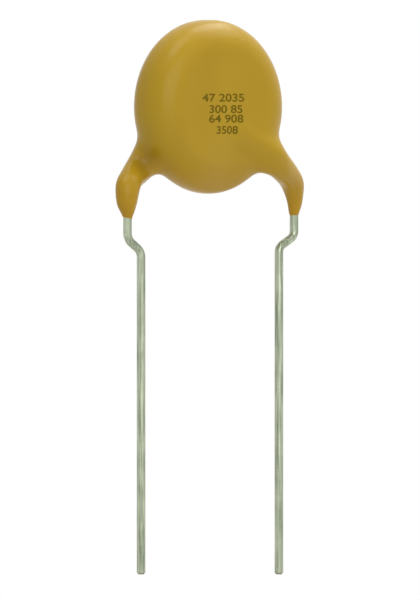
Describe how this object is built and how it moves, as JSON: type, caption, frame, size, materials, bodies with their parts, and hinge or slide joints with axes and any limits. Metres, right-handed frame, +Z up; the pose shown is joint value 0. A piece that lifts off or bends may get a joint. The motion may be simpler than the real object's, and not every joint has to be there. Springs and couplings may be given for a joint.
{
  "type": "ceramic disc capacitor",
  "caption": "Radial ceramic disc capacitor: a coin-shaped body dipped in ochre epoxy, on parallel kinked wire leads that solder into a circuit board.",
  "frame": {"origin": "midway between the leads on the plane of the board they stand in, where their straight lower runs begin just below the kinks", "axes": "+X along the line of the leads, to the right as seen from the printed face; the printed face looks towards -Y; +Z up from the board to the body, so the leads run down along -Z"},
  "size_m": [0.0165, 0.0046, 0.0382],
  "materials": {
    "ochre_epoxy": "gloss",
    "fired_ceramic": "matte",
    "fired_silver": "satin",
    "solder": "gloss",
    "tinned_wire": "satin",
    "marking_ink": "matte"
  },
  "bodies": {
    "root": {"epoxy_coating": "ochre_epoxy", "ceramic_disc": "fired_ceramic", "front_electrode": "fired_silver", "rear_electrode": "fired_silver", "front_solder_joint": "solder", "rear_solder_joint": "solder", "front_lead": "tinned_wire", "rear_lead": "tinned_wire"}
  },
  "joints": []
}
